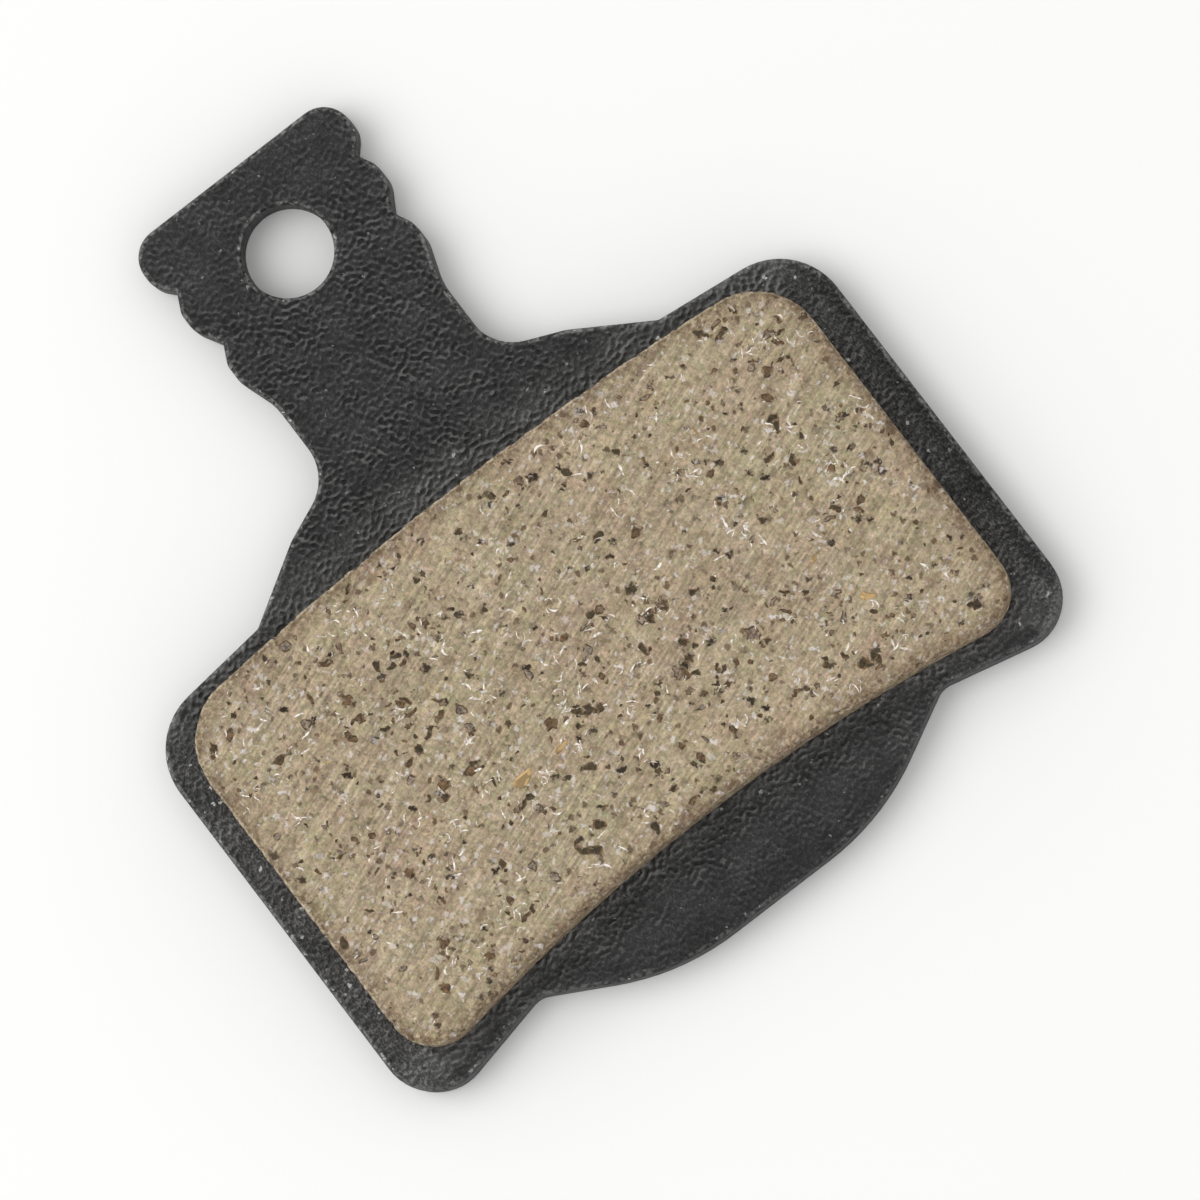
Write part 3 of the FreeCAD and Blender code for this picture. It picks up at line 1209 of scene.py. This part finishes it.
    def join_plugs(self, block: bpy.types.Object) -> None:
        """Adds the two plugs that fill the plate's keying holes.

        Args:
            block: The plain block, in mm.
        """
        plugs = []
        rise = self.seat + self.plug_overlap
        for x in self.plug_x:
            deselect_all()
            bpy.ops.mesh.primitive_cylinder_add(
                vertices=self.plug_sides, radius=self.plug_radius, depth=rise - self.plug_bottom,
                location=(x, self.plug_y, (rise + self.plug_bottom) / 2))
            plug = start_from("plug")
            pick(plug, Element.FACES, lambda place, way: way.z < -ALONG_Z)
            bpy.ops.mesh.bevel(offset=self.plug_edge, segments=2, affect="EDGES")
            bpy.ops.object.mode_set(mode="OBJECT")
            plugs.append(plug)
        select_only([block, *plugs])
        bpy.ops.object.join()

    def roughen(self, block: bpy.types.Object) -> None:
        """Digs the ground face's pull-outs and unevenness and crumbles the rim and walls.

        Args:
            block: The remeshed block, in mm.
        """
        above = [corner for corner in block.data.vertices if corner.co.z > self.seat + self.worn_above]
        lowest, highest = self.wall_turn
        zones = {
            Zone.FACE: [corner.index for corner in above if corner.normal.z > self.face_turn],
            Zone.WALL: [corner.index for corner in above if lowest < corner.normal.z <= highest],
        }
        for zone, corners in zones.items():
            block.vertex_groups.new(name=zone.value).add(corners, 1.0, "REPLACE")
        for dig in self.digs:
            apply_modifier(block, "DISPLACE", texture=dig.texture(), texture_coords="LOCAL", mid_level=1.0,
                           strength=dig.depth, direction=self.DIG_WAY[dig.zone], vertex_group=dig.zone.value)
        block.vertex_groups.clear()

    def dig_pits(self, block: bpy.types.Object, beds: Sequence[Bed]) -> None:
        """Sinks the ground face round each grain, the larger the deeper, where grinding tore the binder.

        Args:
            block: The roughened block, in mm.
            beds: Where the grains will sit.
        """
        places = KDTree(len(beds))
        for number, bed in enumerate(beds):
            places.insert((bed.x, bed.y, 0.0), number)
        places.balance()
        longest = self.coke_lot.longest
        pits = block.vertex_groups.new(name="pits")
        for corner in block.data.vertices:
            if corner.normal.z < self.face_turn or corner.co.z < self.seat + self.worn_above:
                continue
            sunk = 0.0
            for _, number, _ in places.find_range((corner.co.x, corner.co.y, 0.0), longest):
                bed = beds[number]
                slope = (self.pit_floor * bed.length + self.pit_slope - bed.reach(corner.co)) / self.pit_slope
                sunk = max(sunk, min(max(slope, 0.0), 1.0) * bed.length / longest)
            if sunk:
                pits.add([corner.index], sunk, "REPLACE")
        apply_modifier(block, "DISPLACE", direction="Z", mid_level=0.0, strength=-self.pit_depth,
                       vertex_group=pits.name)
        block.vertex_groups.clear()

    def thin_underside(self, block: bpy.types.Object) -> None:
        """Takes the dense flat underside, which lies on the plate, off and closes it with few faces.

        Args:
            block: The roughened block, in mm.
        """
        select_only([block])
        bpy.ops.object.mode_set(mode="EDIT")
        pick(block, Element.FACES, lambda place, way: way.z < self.underside_turn
             and abs(place.z - self.seat) < self.underside_depth)
        bpy.ops.mesh.delete(type="FACE")
        bpy.ops.mesh.select_mode(type=Element.EDGES.value)
        bpy.ops.mesh.select_non_manifold(extend=False)
        bpy.ops.mesh.fill(use_beauty=True)
        bpy.ops.mesh.select_all(action="SELECT")
        bpy.ops.mesh.normals_make_consistent(inside=False)
        bpy.ops.object.mode_set(mode="OBJECT")
        bpy.ops.object.shade_smooth_by_angle(angle=math.radians(self.smooth_deg))

    def dress(self, block: bpy.types.Object) -> None:
        """Gives the block its compound, and the attribute that the rim's painted shade and highlight follow.

        Args:
            block: The block, in mm.
        """
        rim = block.data.attributes.new(self.RIM, "FLOAT", "POINT")
        for corner, mark in zip(block.data.vertices, rim.data):
            mark.value = min(max(self.inset(corner.co.x, corner.co.y) / self.rim_reach, 0.0), 1.0)
        block.data.materials.append(self.compound.material())

    def beds(self, lot: Lot, draw: random.Random, hosts: Sequence[Bed] = ()) -> list[Bed]:
        """Draws the beds of one lot of inclusions on the ground face, some flocked to the one before.

        Args:
            lot: The inclusions.
            draw: The random numbers.
            hosts: Other inclusions, beside which a share of the flocks begin.

        Returns:
            The beds.
        """
        made = []
        x, y = self.middle, 0.0
        while len(made) < lot.count:
            if draw.random() < lot.clumping:
                x, y = draw.gauss(x, lot.clump_reach), draw.gauss(y, lot.clump_reach)
            elif hosts and draw.random() < self.host_share:
                host = draw.choice(hosts)
                x, y = draw.gauss(host.x, lot.clump_reach), draw.gauss(host.y, lot.clump_reach)
            else:
                x = draw.uniform(self.left, self.right)
                y = draw.uniform(self.bottom_crown - self.below_crown, self.top_crown)
            if self.inset(x, y) > self.inclusion_margin:
                length = lot.shortest + (lot.longest - lot.shortest) * draw.random() ** lot.bias
                width = length * draw.uniform(*self.slimness)
                made.append(Bed(x, y, length, width, draw.uniform(0.0, math.tau)))
        return made

    def clear_of_brass(self, bed: Bed) -> bool:
        """Tells whether a grain leaves all the brass chips showing."""
        centre = Vector((bed.x, bed.y))
        return all(chip.reach(centre) > (chip.length + bed.length) / 2 for chip in self.brass_chips)

    def add_inclusions(self, block: bpy.types.Object, grain_beds: Sequence[Bed], draw: random.Random) -> None:
        """Sets grains, fibres and chips into the ground face, a little proud, and joins them to the block.

        Args:
            block: The block, in mm.
            grain_beds: Where the grains sit.
            draw: The random numbers.
        """
        grains = [Grain(seed).build() for seed in range(self.coke_kinds)]
        fibres = [Sliver(bow, seed).build() for seed, bow in enumerate(self.steel_bows)] + [Curl().build()]
        ground = BVHTree.FromObject(block, bpy.context.evaluated_depsgraph_get())
        coke, steel = self.coke_lot, self.steel_lot
        fibre_beds = self.beds(steel, draw, grain_beds)
        steel_finish, brass_finish = (CHOPPED[metal].material() for metal in (Metal.STEEL, Metal.BRASS))
        copies = []
        for shapes, beds, depth, proud, finish in (
            (grains, grain_beds, coke.depth, coke.proud, self.coke.material()),
            (fibres, fibre_beds, steel.depth, steel.proud, steel_finish),
            ([grains[self.brass_kind]], self.brass_chips, steel.depth, self.brass_proud, brass_finish),
        ):
            for bed in beds:
                hit = ground.ray_cast((bed.x, bed.y, self.top + 1.0), DOWN)[0]
                height = min(hit.z + draw.uniform(*proud), self.top)
                shape = shapes[draw.randrange(len(shapes))]
                copies.append(bed.fill(shape, height, depth, finish))
        for shape in (*grains, *fibres):
            bpy.data.objects.remove(shape)
        select_only([block, *copies])
        bpy.ops.object.join()

    def to_metres(self, block: bpy.types.Object) -> None:
        """Scales the finished block from mm to metres about the origin.

        Args:
            block: The block, in mm.
        """
        select_only([block])
        bpy.ops.object.origin_set(type="ORIGIN_CURSOR")
        bpy.ops.transform.resize(value=(MM, MM, MM), center_override=ORIGIN)
        bpy.ops.object.transform_apply(location=True, rotation=True, scale=True)


@dataclass
class Grain:
    """One crushed grain of unit width and depth, its highest point at z = 0, modelled for copying."""

    CORE = "core"
    FIRST_SEED = 100

    seed: int
    sides: int = 9
    knock_out: Span = (-0.32, 0.08)
    knock_aside: Span = (-0.12, 0.12)
    edge_width: float = 0.11
    edge_drop: float = 0.35
    facet_dip: float = 0.3

    def build(self) -> bpy.types.Object:
        """Models the grain: a low drum knocked out of round, its top edge broken and its top faceted.

        Returns:
            The grain.
        """
        deselect_all()
        bpy.ops.mesh.primitive_cylinder_add(vertices=self.sides, radius=0.5, depth=1.0,
                                            location=(0.0, 0.0, -0.5))
        grain = start_from("grain")
        draw = random.Random(self.FIRST_SEED + self.seed)
        for side in range(self.sides):
            angle = math.tau * side / self.sides
            way = Vector((math.sin(angle), math.cos(angle), 0.0))
            aside = Vector((way.y, -way.x, 0.0))
            pick(grain, Element.CORNERS, lambda place, _: (place.to_2d() - way.to_2d() / 2).length < CLOSE)
            knock = way * draw.uniform(*self.knock_out) + aside * draw.uniform(*self.knock_aside)
            bpy.ops.transform.translate(value=knock)
        pick(grain, Element.FACES, lambda place, way: way.z > ALONG_Z)
        bpy.ops.mesh.inset(thickness=self.edge_width)
        facets = [corner.co.copy() for corner in bmesh.from_edit_mesh(grain.data).verts if corner.select]
        pick(grain, Element.CORNERS, lambda place, way: place.z > -CLOSE and place not in facets)
        bpy.ops.transform.translate(value=(0.0, 0.0, -self.edge_drop))
        for spot in facets[:-1]:
            pick(grain, Element.CORNERS, lambda place, way: (place - spot).length < CLOSE)
            bpy.ops.transform.translate(value=(0.0, 0.0, draw.uniform(-self.facet_dip, 0.0)))
        bpy.ops.object.mode_set(mode="OBJECT")
        core = grain.data.attributes.new(self.CORE, "FLOAT", "POINT")
        for corner, mark in zip(grain.data.vertices, core.data):
            mark.value = float(corner.co.z > -(self.facet_dip + self.edge_drop) / 2)
        return grain


@dataclass
class Sliver:
    """One chopped fibre of unit length and depth, modelled for copying; bow is its bend to one side."""

    FIRST_SEED = 200

    bow: float
    seed: int
    width: float = 0.30
    lengths: int = 5
    taper: float = 2.4
    bow_fall: float = 8.0
    torn: Span = (0.4, 1.0)
    stray: Span = (-0.05, 0.05)

    def build(self) -> bpy.types.Object:
        """Models the fibre: a bar cut into lengths, bowed, each length torn to its own width.

        Returns:
            The fibre.
        """
        deselect_all()
        bpy.ops.mesh.primitive_cube_add(size=1.0, location=(0.0, 0.0, -0.5), scale=(1.0, self.width, 1.0))
        sliver = start_from("sliver")
        stations = [step / self.lengths - 0.5 for step in range(self.lengths + 1)]
        cut_across(stations[1:-1])
        draw = random.Random(self.FIRST_SEED + self.seed)
        for x in stations:
            pick(sliver, Element.CORNERS, lambda place, way: abs(place.x - x) < CLOSE)
            narrow = (1.0 - self.taper * x * x) * draw.uniform(*self.torn)
            bpy.ops.transform.resize(value=(1.0, narrow, 1.0), center_override=(x, 0.0, 0.0))
            aside = self.bow * (1.0 - self.bow_fall * x * x) + draw.uniform(*self.stray)
            bpy.ops.transform.translate(value=(0.0, aside, 0.0))
        bpy.ops.object.mode_set(mode="OBJECT")
        return sliver


@dataclass
class Curl:
    """One curled fibre of about unit length and depth, modelled for copying."""

    radius: float = 0.36
    width: float = 0.12
    angle: float = 2.3
    steps: int = 7

    def build(self) -> bpy.types.Object:
        """Models the curl: one small face spun about an upright line.

        Returns:
            The fibre.
        """
        deselect_all()
        bpy.ops.mesh.primitive_plane_add(size=1.0, location=(self.radius, 0.0, -0.5),
                                         rotation=(math.pi / 2, 0.0, 0.0))
        curl = start_from("curl")
        bpy.ops.mesh.select_all(action="SELECT")
        bpy.ops.transform.resize(value=(self.width, 1.0, 1.0), center_override=(self.radius, 0.0, 0.0))
        bpy.ops.mesh.spin(steps=self.steps, angle=self.angle, center=ORIGIN, axis=(0.0, 0.0, 1.0))
        bpy.ops.mesh.select_all(action="SELECT")
        bpy.ops.mesh.remove_doubles(threshold=CLOSE / 2)
        bpy.ops.mesh.normals_make_consistent(inside=False)
        bpy.ops.object.mode_set(mode="OBJECT")
        return curl


@dataclass
class Studio:
    """The plain pale floor, the soft light and the camera; lengths in metres."""

    floor_radius: float = 1.6
    floor_drop: float = 0.00001
    floor_sides: int = 96
    floor_colour: str = "#FBFBFA"
    floor_roughness: float = 0.95
    world_colour: str = "#FFFFFF"
    world_light: float = 0.74
    key_power: float = 1.65
    key_size: float = 0.60
    key_place: Point = (-0.30, 0.22, 0.50)
    lens: float = 300.0
    distance: float = 0.445
    target: Point = (0.00164, 0.00197, 0.002)
    tilt_deg: float = 7.0
    lean: Span = (0.245, -0.969)
    image_up: Point = (0.606, 0.7955, 0.0)

    def build(self) -> None:
        """Sets the floor, the light, the camera and the view."""
        scene = bpy.context.scene
        scene.view_settings.view_transform = "Standard"
        self.lay_floor()
        self.light(scene)
        self.aim_camera(scene)

    def lay_floor(self) -> None:
        """Lays a round floor with a soft matt finish just under the pad."""
        deselect_all()
        bpy.ops.mesh.primitive_circle_add(vertices=self.floor_sides, radius=self.floor_radius,
                                          fill_type="NGON", location=(0.0, 0.0, -self.floor_drop))
        floor = start_from("floor")
        bpy.ops.object.mode_set(mode="OBJECT")
        material, put = blank_material("Matt studio paper")
        paper = put("BsdfPrincipled", {"Base Color": linear(self.floor_colour),
                                       "Roughness": self.floor_roughness, "Specular IOR Level": 0.0})
        put("OutputMaterial", {"Surface": paper})
        floor.data.materials.append(material)

    def light(self, scene: bpy.types.Scene) -> None:
        """Lights the pad: a white surround, and a soft key from the tab's side.

        Args:
            scene: The scene that gets the light.
        """
        world = bpy.data.worlds.new("white surround")
        world.use_nodes = True
        tree = world.node_tree
        tree.nodes.clear()
        path = add_node(tree, "LightPath")
        shown = path.outputs["Is Camera Ray"]
        for ray in ("Is Glossy Ray", "Is Transmission Ray"):
            shown = add_node(tree, "Math", {0: shown, 1: path.outputs[ray]}, operation="MAXIMUM")
        dim, white = (add_node(tree, "Background", {"Color": linear(self.world_colour), "Strength": strength})
                      for strength in (self.world_light, 1.0))
        seen = add_node(tree, "MixShader", {0: shown, 1: dim, 2: white})
        add_node(tree, "OutputWorld", {"Surface": seen})
        scene.world = world
        lamp = bpy.data.lights.new("key", "AREA")
        lamp.shape = "DISK"
        lamp.size = self.key_size
        lamp.energy = self.key_power
        key = bpy.data.objects.new("key", lamp)
        key.location = self.key_place
        key.rotation_euler = (-Vector(self.key_place)).to_track_quat("-Z", "Y").to_euler()
        scene.collection.objects.link(key)

    def aim_camera(self, scene: bpy.types.Scene) -> None:
        """Sets the camera almost straight above the pad, turned as in the picture.

        Args:
            scene: The scene that gets the camera.
        """
        tilt = math.radians(self.tilt_deg)
        aside, along = (share * math.sin(tilt) for share in self.lean)
        back = Vector((aside, along, math.cos(tilt))).normalized()
        right = Vector(self.image_up).cross(back).normalized()
        up = back.cross(right)
        lens = bpy.data.cameras.new("camera")
        lens.lens = self.lens
        camera = bpy.data.objects.new("camera", lens)
        turn = Matrix((right, up, back)).transposed().to_4x4()
        camera.matrix_world = Matrix.Translation(Vector(self.target) + back * self.distance) @ turn
        scene.collection.objects.link(camera)
        scene.camera = camera


def main() -> None:
    """Builds the pad's pieces in order, then the studio."""
    logging.basicConfig(level=logging.INFO, format="%(message)s")
    lining = FrictionBlock()
    plate = BackingPlate().dress(lining)
    log.info("%s: coated", plate.name)
    block = lining.build()
    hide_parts("friction_block")
    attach(block, BODY)
    log.info("%s: %d faces", block.name, len(block.data.polygons))
    Studio().build()
    log.info("studio: floor, key and camera set")


if __name__ == "__main__":
    main()
